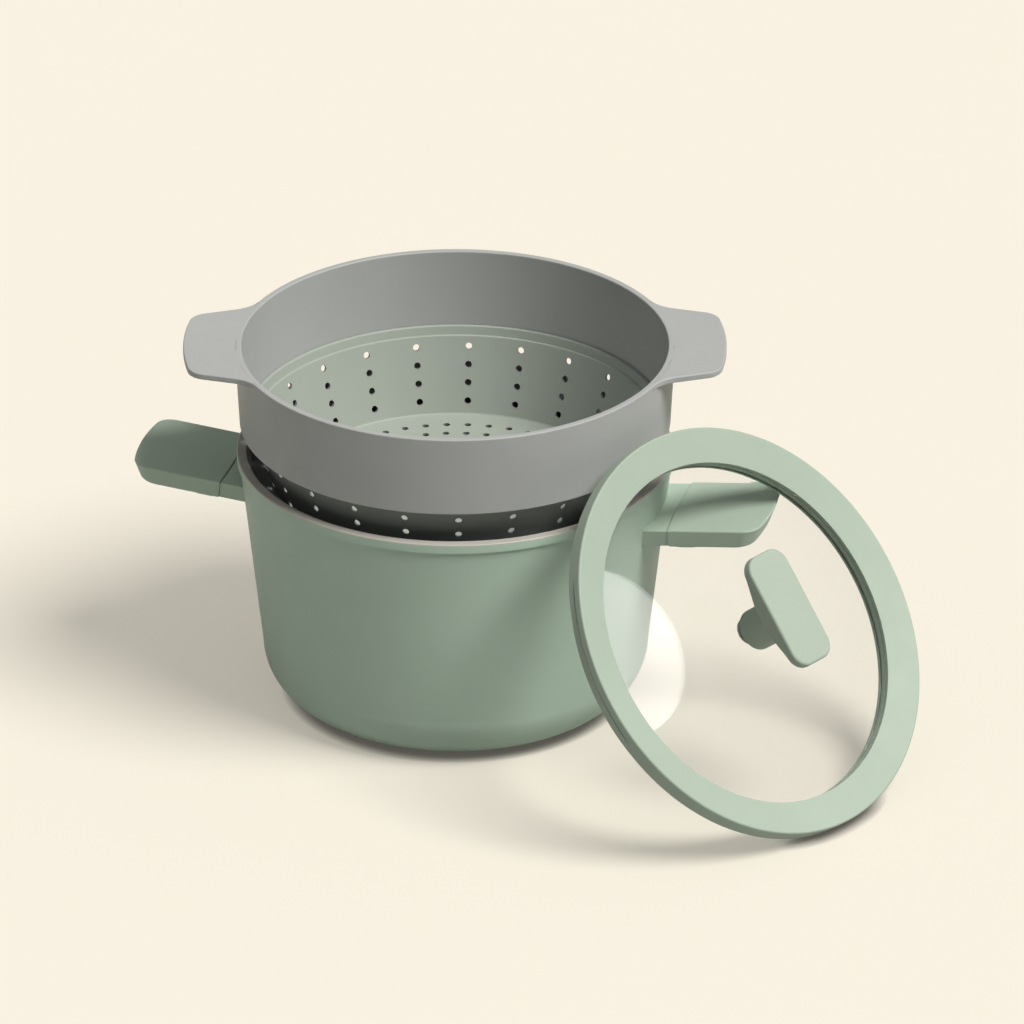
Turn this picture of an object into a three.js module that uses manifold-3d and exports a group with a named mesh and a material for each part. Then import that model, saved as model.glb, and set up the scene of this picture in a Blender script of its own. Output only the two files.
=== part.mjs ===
// Pot with a raised steamer insert and a glass lid that leans on one handle.
// Millimetres, +Z up, origin at the centre of the base, the picture's left and right along X.
import * as THREE from 'three';
import { mergeVertices } from 'three/addons/utils/BufferGeometryUtils.js';
import Module from 'manifold-3d';

// Fits and facets
const GAP = 0.3; // clearance between neighbouring parts
const EDGE = 0.8; // small edge break
const ROUND = 48; // facets of the large turned parts
const SMALL_ROUND = 16; // facets of screws and washers
const HOLE_SIDES = 5; // facets of a steam hole

// Pot
const POT_H = 151.4; // base to rim
const MOUTH_R = 119.4; // inside of the rim
const RIM_W = 5.7; // width of the rim
const RIM_H = 6; // height of the proud rim band
const RIM_PROUD = 1.5; // how far the band stands off the wall
const WALL_T = 5.1; // wall thickness, measured level
const WALL_TAPER = 0.1092; // radius gained per millimetre of height
const CORNER_R = 31; // outside bottom edge
const FLOOR_T = 6; // pot floor above the base plate
const FOOT_GAP = 0.6; // pot bottom above the table
const PLATE_T = 3; // base plate
const PLATE_MARGIN = 8; // base plate edge to the start of the bottom edge

// Handles
const HANDLE_AZ = -14.3; // heading of the right handle, degrees from +X
const HANDLE_TILT = 5.8; // upward tilt, degrees
const HANDLE_DROP = 22.8; // rim to the top of the grip at the seam
const NECK_L = 9.5; // pot wall to seam
const NECK_STEP = 0.7; // the neck is this much smaller than the grip all round
const SEAM_BOW = 1; // bow of the seam towards the pot
const GRIP_L = 56; // seam to tip
const GRIP_W = 64.2;
const GRIP_T = 11.4;
const GRIP_CORNER_R = 10;
const GRIP_EDGE = 1.2; // rounding of the grip's upper edge
const GRIP_LOW_EDGE = 2.2; // rounding of its lower edge
const TIP_R = 130; // arc of the tip, seen from above
const TIP_INSET = 5.5; // the tip draws in by this much over the grip's thickness
const SIDE_INSET = 1.2; // the sides draw in by this much
const PAD_L = 14; // thicker pad under the grip by the seam
const PAD_W = 56;
const PAD_H = 1.2;
const TONGUE_L = 30; // tongue of the neck inside the grip
const TONGUE_W = 28;
const TONGUE_T = 4.4;
const STUD_L = 5.4; // stud on the pot wall inside the neck
const STUD_W = 18;
const STUD_T = 4.6;
const SCREW_R = 1.5;
const SCREW_HEAD_R = 2.9;
const SCREW_HEAD_H = 1.6;
const SCREW_SINK = 0.5; // screw heads below the surface
const SCREW_TIP = 0.9; // solid left above a screw's tip
const GRIP_SCREW_X = 18.6; // seam to grip screw

// Steamer insert
const INSERT_RAISE = 18.2; // pot rim to the underside of the collar
const COLLAR_H = 48;
const COLLAR_LAP = 6.3; // collar outside beyond the pot's mouth
const COLLAR_INSET = 2.4; // radius lost from the top to the bottom of the collar
const COLLAR_T = 3.9;
const LIP_T = 1.2; // inner lip that carries the basket
const LIP_W = 1.3;
const TAB_L = 29.3; // collar to the end of a tab
const TAB_W = 90.6; // between the sides, level with the collar's outside
const TAB_TAPER = 16.4; // how far each side turns in towards the end, degrees
const TAB_T = 3.7;
const TAB_CORNER_R = 12;
const TAB_FILLET_R = 22;
const FLANGE_T = 1.2; // basket flange on the lip
const LEDGE_W = 2.1; // flat top of the flange
const BAND_W = 1.2; // level width of the sloping band under the ledge
const BAND_H = 5;
const STEP_W = 1.5; // small step between the band and the perforated wall
const BASKET_T = 1.4;
const BASKET_DEPTH = 46.4; // underside of the collar to the basket's floor
const BASKET_TAPER = 0.325; // radius gained per millimetre of height
const BASKET_CORNER_R = 1.6;
const SEAT_DROP = 32.4; // underside of the collar to the seat ring
const SEAT_H = 3; // ring outside the basket that sits on the pot's taper
const HOLE_D = 3.9;
const HOLE_COLUMNS = 23;
const HOLE_AZ = 84.5; // heading of the first column, degrees
const HOLE_SKEW_AZ = 1.4; // the most that a column is turned from even spacing, degrees
const HOLE_DROP = 8.4; // underside of the collar to the top row
const HOLE_PITCH = 10.16; // row to row
const FLOOR_AZ = 85.1; // heading of the first hole of each floor ring, degrees
const FLOOR_EDGE = 13.8; // basket wall to the outer ring of floor holes
const OUTER_HOLES = 44; // holes in the outer ring
const SECOND_HOLES = 40; // holes in the ring next to it
const FLOOR_RING_PITCH = 11.3; // between the two close outer rings
const INNER_RING_PITCH = 21; // between the rings inside them
const INNER_HOLE_PITCH = 24;

// Lid, drawn about its own axis with 0 at the top outer edge
const LID_AZ = -41.6; // heading of the lid's normal, degrees from +X
const LID_EL = 38.3; // elevation of the lid's normal, degrees
const LID_SIDE = 12.66; // lid centre to the side of its heading line
const LID_LAP = 1.8; // ring outside beyond the pot's mouth
const LID_H = 10.2; // height of the ring's outer side
const RING_W = 20.2; // top face
const RING_DISH = 4.2; // drop of the top face towards the glass
const RING_STEP = 5.6; // straight step from the top face down to the glass
const PLUG_CLEAR = 3.2; // pot mouth to the ring's plug
const PLUG_H = 5.5; // plug below the outer side
const GLASS_T = 4;
const GLASS_LAP = 2.4; // glass edge beyond the ring's inner edge
const DOME_RISE = 10.7;
const DOME_STEPS = 4;
const LAND_R = 14; // flat land of the glass under the knob
const NOTCH_AZ = 168; // heading of the pour notch on the lid, degrees
const NOTCH_HALF = 24; // half of its arc, degrees
const NOTCH_DEPTH = 2.4;
const NOTCH_TOP = 4.8; // top edge to the notch
const KNOB_H = 33.6;
const KNOB_L = 68.5;
const KNOB_W = 31;
const KNOB_END_T = 6.2; // thickness of the bar at its ends
const KNOB_ROOT_T = 11; // thickness of the bar beside the stem
const KNOB_ROOT_L = 37; // length of the bar's thick middle
const KNOB_FILLET = 3; // stem to bar
const KNOB_UNDER = 0.8; // the bar's underside is this much smaller all round
const KNOB_CORNER_R = 10;
const KNOB_SHIFT = 1.3; // middle of the bar from the stem's axis, up the lid's slope
const STEM_R = 12;
const CUSHION_R = 9; // soft disc under the stem
const CUSHION_T = 3.2;
const WASHER_R = 8;
const WASHER_T = 1.2;
const KNOB_SCREW_R = 2.5;
const KNOB_SCREW_L = 20;
const KNOB_HEAD_R = 4.6;
const KNOB_HEAD_H = 2.6;

// Finishes
const SAGE = { color: 0x8f9f8b, roughness: 0.6, metalness: 0 };
const PALE_SAGE = { color: 0xb4c2ae, roughness: 0.65, metalness: 0 };
const BASKET_SAGE = { color: 0xa5b09f, roughness: 0.55, metalness: 0 };
const GREY = { color: 0x9a9c97, roughness: 0.6, metalness: 0 };
const STEEL = { color: 0xb8bab8, roughness: 0.35, metalness: 0.9 };
const CLEAR = { color: 0xdfe8e2, roughness: 0.05, metalness: 0, transparent: true, opacity: 0.35 };

const wasm = await Module();
wasm.setup();

const rad = THREE.MathUtils.degToRad;
const vector = ([x, y]) => new THREE.Vector2(x, y);

// Points of an arc about [cx, cy] from one angle to another, in degrees.
function arc(cx, cy, radius, from, to, steps) {
  return Array.from({ length: steps + 1 }, (_, i) => {
    const angle = rad(from + (to - from) * i / steps);
    return [cx + radius * Math.cos(angle), cy + radius * Math.sin(angle)];
  });
}

// Joins shared vertices and drops the triangles that a pole flattens.
function welded(geometry) {
  const bare = geometry.clone();
  bare.deleteAttribute('normal');
  bare.deleteAttribute('uv');
  const merged = mergeVertices(bare, 1e-4);
  const old = merged.index.array;
  const kept = [];
  for (let i = 0; i < old.length; i += 3) {
    const [a, b, c] = [old[i], old[i + 1], old[i + 2]];
    if (a !== b && b !== c && c !== a) kept.push(a, b, c);
  }
  merged.setIndex(kept);
  return merged;
}

// Solid turned about Z from a profile of [radius, height] that runs up the outside.
function turned(profile, segments = ROUND) {
  return welded(new THREE.LatheGeometry(profile.map(vector), segments).rotateX(Math.PI / 2));
}

// Plate between two heights, from an outline of [x, y].
function plate(outline, low, high) {
  const shape = new THREE.Shape(outline.map(vector));
  const options = { depth: high - low, steps: 1, bevelEnabled: false };
  return welded(new THREE.ExtrudeGeometry(shape, options).translate(0, 0, low));
}

// Solid through sections of equal point counts, lowest first.
function lofted(sections) {
  const count = sections[0].points.length;
  const positions = sections.flatMap(({ points, z }) => points.flatMap(([x, y]) => [x, y, z]));
  const index = [];
  for (let base = 0; base < count * (sections.length - 1); base += count) {
    for (let i = 0; i < count; i++) {
      const j = (i + 1) % count;
      index.push(base + i, base + j, base + count + j, base + i, base + count + j, base + count + i);
    }
  }
  const top = count * (sections.length - 1);
  for (let i = 1; i + 1 < count; i++) {
    index.push(0, i + 1, i, top, top + i, top + i + 1);
  }
  const geometry = new THREE.BufferGeometry();
  geometry.setAttribute('position', new THREE.Float32BufferAttribute(positions, 3));
  geometry.setIndex(index);
  return geometry;
}

const rod = (radius, low, high, sides) => turned([[0, low], [radius, low], [radius, high], [0, high]], sides);
const rectangle = (x0, x1, width) => [[x0, -width / 2], [x1, -width / 2], [x1, width / 2], [x0, width / 2]];

function roundedRectangle(x0, x1, width, radius, steps) {
  const side = width / 2 - radius;
  return [
    ...arc(x1 - radius, side, radius, 0, 90, steps),
    ...arc(x0 + radius, side, radius, 90, 180, steps),
    ...arc(x0 + radius, -side, radius, 180, 270, steps),
    ...arc(x1 - radius, -side, radius, 270, 360, steps),
  ];
}

function solid(geometry) {
  const vertProperties = new Float32Array(geometry.attributes.position.array);
  const triVerts = new Uint32Array(geometry.index.array);
  return new wasm.Manifold(new wasm.Mesh({ numProp: 3, vertProperties, triVerts }));
}

function geometryOf(manifold) {
  const { vertProperties, triVerts } = manifold.getMesh();
  const geometry = new THREE.BufferGeometry();
  geometry.setAttribute('position', new THREE.Float32BufferAttribute(vertProperties, 3));
  geometry.setIndex(Array.from(triVerts));
  return geometry;
}

function cut(geometry, tools) {
  return geometryOf(tools.map(solid).reduce((body, tool) => body.subtract(tool), solid(geometry)));
}

function joined(pieces) {
  return geometryOf(pieces.map(solid).reduce((body, piece) => body.add(piece)));
}

function named(name, geometry, finish) {
  const mesh = new THREE.Mesh(geometry, new THREE.MeshStandardMaterial(finish));
  mesh.name = name;
  geometry.computeVertexNormals();
  return mesh;
}

// Pot: a tapered wall, a large round bottom edge and a proud rim band.
const rimR = MOUTH_R + RIM_W;
const rimZ = POT_H - RIM_H;
const wallR = (z) => rimR - RIM_PROUD - WALL_TAPER * (rimZ - z);
const innerR = (z) => wallR(z) - WALL_T;
const cornerX = wallR(CORNER_R) - CORNER_R;
const plateR = cornerX - PLATE_MARGIN;

const outerWall = (offset) => [
  ...arc(cornerX, CORNER_R + FOOT_GAP, CORNER_R + offset, -90, 0, 6),
  [wallR(rimZ) + offset, rimZ],
];

function potBody() {
  const radius = CORNER_R - WALL_T;
  const floorZ = PLATE_T + FLOOR_T;
  const throatZ = rimZ - EDGE;
  return turned([
    [0, PLATE_T],
    [plateR + GAP, PLATE_T],
    [plateR + GAP, FOOT_GAP],
    ...outerWall(0),
    [rimR, rimZ + EDGE],
    [rimR, POT_H - EDGE],
    [rimR - EDGE, POT_H],
    [MOUTH_R + EDGE, POT_H],
    [MOUTH_R, POT_H - EDGE],
    [innerR(throatZ), throatZ],
    ...arc(innerR(floorZ + radius) - radius, floorZ + radius, radius, 0, -90, 5),
    [0, floorZ],
  ]);
}

function basePlate() {
  return turned([[0, 0], [plateR - EDGE, 0], [plateR, EDGE], [plateR, PLATE_T], [0, PLATE_T]]);
}

// Handles, drawn along +X with 0 at the top of the seam.
const handleZ = POT_H - HANDLE_DROP;
const seamX = wallR(handleZ) + NECK_L;
const middleZ = -GRIP_T / 2;
const tongueZ = middleZ - TONGUE_T / 2;
const studZ = middleZ - STUD_T / 2;
const studX = STUD_L / 2 - NECK_L;
const insideX = -NECK_L - CORNER_R / 2;

function seamLine(width) {
  const steps = 8;
  return Array.from({ length: steps + 1 }, (_, i) => {
    const across = 2 * i / steps - 1;
    return [-SEAM_BOW * (1 - across ** 2), across * width / 2];
  });
}

// Plan of the grip: a bowed seam, two round corners and a tip on a large arc.
function gripOutline(tip, side) {
  const middleX = tip - TIP_R;
  const y = side - GRIP_CORNER_R;
  const x = middleX + Math.sqrt((TIP_R - GRIP_CORNER_R) ** 2 - y ** 2);
  const turn = THREE.MathUtils.radToDeg(Math.atan2(y, x - middleX));
  return [
    ...seamLine(2 * side).reverse().map(([bow, across]) => [bow + GAP / 2, across]),
    ...arc(x, -y, GRIP_CORNER_R, 270, 360 - turn, 4),
    ...arc(middleX, 0, TIP_R, -turn, turn, 4).slice(1, -1),
    ...arc(x, y, GRIP_CORNER_R, turn, 90, 4),
  ];
}

function neckOutline(side) {
  const seam = seamLine(2 * side).map(([x, y]) => [x - GAP / 2, y]);
  return [[insideX, -side], ...seam, [insideX, side]];
}

// Heights and insets of the sections between two faces with rounded edges, lowest first.
function edgeLevels(low, high, lowEdge, highEdge) {
  const steps = [[0, 1], [0.3, 0.3], [1, 0]];
  const lower = steps.map(([rise, inset]) => [low + rise * lowEdge, inset * lowEdge]);
  const upper = steps.map(([drop, inset]) => [high - drop * highEdge, inset * highEdge]);
  return [...lower, ...upper.reverse()];
}

// A screw from below: its head sits at the lower face, and the bore for it is one clearance larger.
function screw(faceZ, tipZ, clearance, headZ) {
  const shank = SCREW_R + clearance;
  const head = SCREW_HEAD_R + clearance;
  const shoulderZ = faceZ + SCREW_SINK + SCREW_HEAD_H;
  const tip = tipZ + clearance;
  const profile = [[0, headZ], [head, headZ], [head, shoulderZ], [shank, shoulderZ], [shank, tip], [0, tip]];
  return turned(profile, SMALL_ROUND);
}

const neckFaceZ = NECK_STEP - GRIP_T;
const gripTipZ = tongueZ + TONGUE_T - SCREW_TIP;
const studTipZ = studZ + STUD_T - SCREW_TIP;
const gripScrew = screw(-GRIP_T, gripTipZ, 0, SCREW_SINK - GRIP_T).translate(GRIP_SCREW_X, 0, 0);
const gripBore = screw(-GRIP_T, gripTipZ, GAP, -2 * GRIP_T).translate(GRIP_SCREW_X, 0, 0);
const studScrew = screw(neckFaceZ, studTipZ, 0, SCREW_SINK + neckFaceZ).translate(studX, 0, 0);
const studBore = screw(neckFaceZ, studTipZ, GAP, -2 * GRIP_T).translate(studX, 0, 0);

// The pot's outside as a cutting tool in the handle's own frame.
const wallTool = turned([[0, 0], ...outerWall(GAP), [rimR + GAP, POT_H], [0, POT_H]])
  .rotateZ(-rad(HANDLE_AZ))
  .translate(-seamX, 0, -handleZ)
  .rotateY(rad(HANDLE_TILT));

function grip() {
  const body = lofted(edgeLevels(-GRIP_T, 0, GRIP_LOW_EDGE, GRIP_EDGE).map(([z, inset]) => {
    const tip = GRIP_L - inset + TIP_INSET * z / GRIP_T;
    const side = GRIP_W / 2 - inset + SIDE_INSET * z / GRIP_T;
    return { points: gripOutline(tip, side), z };
  }));
  const padX = GRIP_LOW_EDGE;
  const pad = plate(roundedRectangle(padX, padX + PAD_L, PAD_W, PAD_L / 4, 2), -GRIP_T - PAD_H, middleZ);
  const opening = rectangle(-SEAM_BOW - GRIP_EDGE, TONGUE_L + GAP, TONGUE_W + 2 * GAP);
  const slot = plate(opening, tongueZ - GAP, tongueZ + TONGUE_T + GAP);
  return cut(joined([body, pad]), [slot, gripBore]);
}

function neck() {
  const body = lofted(edgeLevels(neckFaceZ, -NECK_STEP, EDGE, EDGE).map(([z, inset]) => {
    const side = GRIP_W / 2 - NECK_STEP - inset + SIDE_INSET * z / GRIP_T;
    return { points: neckOutline(side), z };
  }));
  const tongue = plate(rectangle(-SEAM_BOW - EDGE - GAP, TONGUE_L, TONGUE_W), tongueZ, tongueZ + TONGUE_T);
  const opening = rectangle(insideX - GAP, studX + STUD_L / 2 + GAP, STUD_W + 2 * GAP);
  const pocket = plate(opening, studZ - GAP, studZ + STUD_T + GAP);
  return cut(joined([body, tongue]), [pocket, studBore, gripBore, wallTool]);
}

function stud() {
  const body = plate(rectangle(insideX, studX + STUD_L / 2, STUD_W), studZ, studZ + STUD_T);
  return cut(body, [studBore, wallTool]);
}

// Steamer collar: a drafted ring with an inner lip and two flat tabs.
const collarZ = POT_H + INSERT_RAISE;
const collarTopZ = collarZ + COLLAR_H;
const collarTopR = MOUTH_R + COLLAR_LAP;
const collarR = (z) => collarTopR - COLLAR_INSET * (collarTopZ - z) / COLLAR_H;
const lipZ = collarZ + LIP_T;
const collarInR = collarR(lipZ) - COLLAR_T;
const openingR = collarInR - LIP_W;

// Plan of a tab: an end that follows the collar, round corners, tapered sides and filleted roots.
function tabOutline() {
  const end = collarTopR + TAB_L;
  const [sin, cos] = [Math.sin(rad(TAB_TAPER)), Math.cos(rad(TAB_TAPER))];
  const reach = collarTopR * sin + TAB_W / 2 * cos;
  const round = (radius, distance) => {
    const along = Math.sqrt(radius ** 2 - distance ** 2);
    return [distance * sin + along * cos, distance * cos - along * sin];
  };
  const heading = ([x, y]) => THREE.MathUtils.radToDeg(Math.atan2(y, x));
  const corner = round(end - TAB_CORNER_R, reach - TAB_CORNER_R);
  const fillet = round(collarTopR + TAB_FILLET_R, reach + TAB_FILLET_R);
  const [endAngle, rootAngle] = [heading(corner), heading(fillet)];
  const upper = [
    ...arc(...corner, TAB_CORNER_R, endAngle, 90 - TAB_TAPER, 4),
    ...arc(...fillet, TAB_FILLET_R, 270 - TAB_TAPER, 180 + rootAngle, 4),
  ];
  return [
    ...arc(0, 0, end, -endAngle, endAngle, 4).slice(1, -1),
    ...upper,
    ...arc(0, 0, collarTopR - COLLAR_T / 2, rootAngle, -rootAngle, 8),
    ...upper.map(([x, y]) => [x, -y]).reverse(),
  ];
}

function steamerCollar() {
  const ring = turned([
    [openingR, collarZ],
    [collarR(collarZ) - EDGE, collarZ],
    [collarR(collarZ), collarZ + EDGE],
    [collarTopR, collarTopZ - EDGE],
    [collarTopR - EDGE, collarTopZ],
    [collarTopR - COLLAR_T + EDGE, collarTopZ],
    [collarTopR - COLLAR_T, collarTopZ - EDGE],
    [collarInR, lipZ],
    [openingR, lipZ],
    [openingR, collarZ],
  ]);
  const tab = plate(tabOutline(), collarTopZ - TAB_T, collarTopZ);
  return joined([ring, tab, tab.clone().rotateZ(Math.PI)]);
}

// Steamer basket: a flange on the lip, a perforated cone, and a ring that sits on the pot's taper.
const flangeZ = lipZ + FLANGE_T;
const flangeR = collarInR - GAP;
const ledgeR = flangeR - LEDGE_W;
const stepZ = flangeZ - BAND_H;
const stepR = ledgeR - BAND_W - STEP_W;
const basketZ = collarZ - BASKET_DEPTH;
const basketR = (z) => stepR - BASKET_TAPER * (stepZ - z);
const basketOutR = (z) => basketR(z) + BASKET_T;

function basketBlank() {
  const underZ = basketZ - BASKET_T;
  const neckR = openingR - GAP;
  const neckZ = stepZ - BASKET_T;
  const seatTop = collarZ - SEAT_DROP;
  const seatZ = seatTop - SEAT_H;
  const seatR = (z) => innerR(z) - GAP;
  const cornerZ = basketZ + BASKET_CORNER_R;
  return turned([
    [0, underZ],
    [basketOutR(basketZ) - BASKET_CORNER_R, underZ],
    [basketOutR(basketZ), basketZ],
    [basketOutR(seatZ), seatZ],
    [seatR(seatZ), seatZ],
    [seatR(seatTop), seatTop],
    [basketOutR(seatTop), seatTop],
    [basketOutR(neckZ), neckZ],
    [neckR, stepZ],
    [neckR, lipZ],
    [flangeR, lipZ],
    [flangeR, flangeZ],
    [ledgeR, flangeZ],
    [stepR + STEP_W, stepZ],
    [stepR, stepZ],
    ...arc(basketR(cornerZ) - BASKET_CORNER_R, cornerZ, BASKET_CORNER_R, 0, -90, 2),
    [0, basketZ],
  ]);
}

function wallDrills(drill) {
  const drills = [];
  for (let z = collarZ - HOLE_DROP; z > basketZ + HOLE_D; z -= HOLE_PITCH) {
    const level = drill.clone().rotateY(Math.PI / 2).translate(basketOutR(z), 0, z);
    for (let i = 0; i < HOLE_COLUMNS; i++) {
      const even = rad(HOLE_AZ + 360 * i / HOLE_COLUMNS);
      drills.push(level.clone().rotateZ(even + rad(HOLE_SKEW_AZ) * Math.sin(even)));
    }
  }
  return drills;
}

function floorDrills(drill) {
  const outerR = basketR(basketZ) - FLOOR_EDGE;
  const secondR = outerR - FLOOR_RING_PITCH;
  const rings = [[outerR, OUTER_HOLES], [secondR, SECOND_HOLES]];
  for (let r = secondR - INNER_RING_PITCH; r > INNER_RING_PITCH / 2; r -= INNER_RING_PITCH) {
    rings.push([r, Math.round(2 * Math.PI * r / INNER_HOLE_PITCH)]);
  }
  return rings.flatMap(([radius, count]) => Array.from({ length: count }, (_, i) =>
    drill.clone().translate(radius, 0, basketZ).rotateZ(rad(FLOOR_AZ + 360 * i / count))));
}

function steamerBasket() {
  const drill = rod(HOLE_D / 2, -4 * BASKET_T, 4 * BASKET_T, HOLE_SIDES);
  return cut(basketBlank(), [...wallDrills(drill), ...floorDrills(drill)]);
}

// Lid ring: a sloping top face, a straight step down to the glass and a plug for the pot's mouth.
const lidR = MOUTH_R + LID_LAP;
const ringInR = lidR - RING_W;
const glassR = ringInR + GLASS_LAP;
const glassTop = -RING_DISH - RING_STEP - GAP;
const glassBack = glassTop - GLASS_T;
const plugR = MOUTH_R - PLUG_CLEAR;
const plugBottom = -LID_H - PLUG_H;

function notch() {
  const steps = 12;
  const inner = Array.from({ length: steps + 1 }, (_, i) => {
    const across = 2 * i / steps - 1;
    const angle = rad(across * NOTCH_HALF);
    const radius = lidR - NOTCH_DEPTH * (1 - across ** 2) ** 2;
    return [radius * Math.cos(angle), radius * Math.sin(angle)];
  });
  const outer = arc(0, 0, lidR + NOTCH_DEPTH, NOTCH_HALF, -NOTCH_HALF, steps);
  return plate([...inner, ...outer], -LID_H - EDGE, -NOTCH_TOP);
}

function lidRing() {
  const ring = turned([
    [ringInR, plugBottom],
    [plugR - EDGE, plugBottom],
    [plugR, plugBottom + EDGE],
    [plugR, -LID_H],
    [lidR - EDGE, -LID_H],
    [lidR, EDGE - LID_H],
    [lidR, -EDGE],
    [lidR - EDGE, 0],
    [ringInR + EDGE, EDGE - RING_DISH],
    [ringInR, -RING_DISH],
    [ringInR, glassTop + GAP],
    [glassR + GAP, glassTop + GAP],
    [glassR + GAP, glassBack],
    [ringInR, glassBack],
    [ringInR, plugBottom],
  ]);
  return cut(ring, [0, 180].map((turn) => notch().rotateZ(rad(NOTCH_AZ + turn))));
}

// Lid glass: a shallow dome with a flat land under the knob and a hole for its screw.
const domeR = ringInR - EDGE;
const screwHoleR = KNOB_SCREW_R + 2 * GAP;
const domeRadii = Array.from({ length: DOME_STEPS + 1 }, (_, i) => LAND_R + (domeR - LAND_R) * i / DOME_STEPS);
const dome = (radius) => DOME_RISE * (1 - (radius / domeR) ** 2);
const landTop = glassTop + dome(LAND_R);
const landBack = glassBack + dome(LAND_R);

function lidGlass() {
  return turned([
    [screwHoleR, landBack],
    ...domeRadii.map((radius) => [radius, glassBack + dome(radius)]),
    [glassR - EDGE, glassBack],
    [glassR, glassBack + EDGE],
    [glassR, glassTop - EDGE],
    [glassR - EDGE, glassTop],
    ...domeRadii.map((radius) => [radius, glassTop + dome(radius)]).reverse(),
    [screwHoleR, landTop],
    [screwHoleR, landBack],
  ]);
}

// Knob: a round stem under a bar that runs up the lid's slope and is thicker beside the stem.
const stemZ = landTop + CUSHION_T;
const knobTop = stemZ + KNOB_H;
const screwTop = landBack - WASHER_T + KNOB_SCREW_L;

function knobSection(length, width, radius, shift, z) {
  const outline = roundedRectangle(-width / 2, width / 2, length, radius, 4);
  return { points: outline.map(([x, y]) => [x, y + shift]), z };
}

function lidKnob() {
  const rootZ = knobTop - KNOB_ROOT_T;
  const endZ = knobTop - KNOB_END_T;
  const edge = 2 * EDGE;
  const stem = (z) => knobSection(2 * STEM_R, 2 * STEM_R, STEM_R, 0, z);
  const root = (length, z) => knobSection(length, KNOB_W - 2 * KNOB_UNDER, STEM_R, KNOB_SHIFT, z);
  const bar = (inset, z) =>
    knobSection(KNOB_L - 2 * inset, KNOB_W - 2 * inset, KNOB_CORNER_R - inset, KNOB_SHIFT, z);
  const blank = lofted([
    stem(stemZ),
    stem(rootZ - KNOB_FILLET),
    root(KNOB_ROOT_L, rootZ),
    bar(KNOB_UNDER, endZ),
    bar(0, endZ + edge),
    bar(0, knobTop - edge),
    bar(EDGE / 2, knobTop - EDGE / 2),
    bar(edge, knobTop),
  ]);
  return cut(blank, [rod(KNOB_SCREW_R + GAP, stemZ - CUSHION_T, screwTop + GAP, SMALL_ROUND)]);
}

const washer = (hole, radius, low, high) =>
  turned([[hole, low], [radius, low], [radius, high], [hole, high], [hole, low]], SMALL_ROUND);

function knobScrew() {
  const headZ = landBack - WASHER_T;
  return turned([
    [0, headZ - KNOB_HEAD_H],
    [KNOB_HEAD_R - EDGE, headZ - KNOB_HEAD_H],
    [KNOB_HEAD_R, headZ - KNOB_HEAD_H + EDGE],
    [KNOB_HEAD_R, headZ],
    [KNOB_SCREW_R, headZ],
    [KNOB_SCREW_R, screwTop],
    [0, screwTop],
  ], SMALL_ROUND);
}

// Assembly
const part = new THREE.Group();
part.add(named('pot_body', potBody(), SAGE));
part.add(named('base_plate', basePlate(), STEEL));

function handle(side, heading) {
  const arm = new THREE.Group();
  arm.position.set(seamX, 0, handleZ);
  arm.rotation.y = -rad(HANDLE_TILT);
  arm.add(named(`handle_neck_${side}`, neck(), SAGE));
  arm.add(named(`handle_grip_${side}`, grip(), SAGE));
  arm.add(named(`handle_stud_${side}`, stud(), STEEL));
  arm.add(named(`stud_screw_${side}`, studScrew.clone(), STEEL));
  arm.add(named(`grip_screw_${side}`, gripScrew.clone(), STEEL));
  const pivot = new THREE.Group();
  pivot.rotation.z = rad(heading);
  pivot.add(arm);
  part.add(pivot);
}

handle('right', HANDLE_AZ);
handle('left', HANDLE_AZ + 180);

part.add(named('steamer_collar', steamerCollar(), GREY));
part.add(named('steamer_basket', steamerBasket(), BASKET_SAGE));

const lid = new THREE.Group();
lid.rotation.set(rad(90 - LID_EL), 0, rad(LID_AZ + 90), 'ZXY');
lid.add(named('lid_ring', lidRing(), PALE_SAGE));
lid.add(named('lid_glass', lidGlass(), CLEAR));
lid.add(named('lid_knob', lidKnob(), PALE_SAGE));
lid.add(named('knob_seat', washer(screwHoleR, CUSHION_R, landTop, stemZ), PALE_SAGE));
lid.add(named('knob_washer', washer(KNOB_SCREW_R + GAP, WASHER_R, landBack - WASHER_T, landBack), PALE_SAGE));
lid.add(named('knob_screw', knobScrew(), STEEL));
part.add(lid);

// The lid stands on its lower edge and leans back until its underside meets what is behind it.
function cornersOf(name) {
  const mesh = part.getObjectByName(name);
  const corners = mesh.geometry.attributes.position;
  mesh.updateWorldMatrix(true, false);
  return Array.from({ length: corners.count }, (_, i) => {
    return new THREE.Vector3().fromBufferAttribute(corners, i).applyMatrix4(mesh.matrixWorld);
  });
}

function underside(radius) {
  if (radius > lidR + GAP) return Infinity;
  if (radius > plugR) return -LID_H;
  if (radius > domeR) return plugBottom;
  const outer = domeRadii.findIndex((r) => r >= radius);
  const [r0, r1] = [domeRadii[Math.max(outer - 1, 0)], domeRadii[Math.max(outer, 1)]];
  return glassBack + THREE.MathUtils.mapLinear(Math.max(radius, r0), r0, r1, dome(r0), dome(r1));
}

function placeLid(distance) {
  const [heading, elevation] = [rad(LID_AZ), rad(LID_EL)];
  const x = distance * Math.cos(heading) - LID_SIDE * Math.sin(heading);
  const y = distance * Math.sin(heading) + LID_SIDE * Math.cos(heading);
  const z = lidR * Math.cos(elevation) + (LID_H - EDGE) * Math.sin(elevation);
  lid.position.set(x, y, z);
  lid.updateMatrixWorld();
}

// Outside of the pot and the insert at a height.
function standingR(z) {
  if (z > collarTopZ) return 0;
  if (z > collarZ) return collarR(z);
  if (z > POT_H) return basketOutR(z);
  return z > rimZ ? rimR : wallR(z);
}

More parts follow.
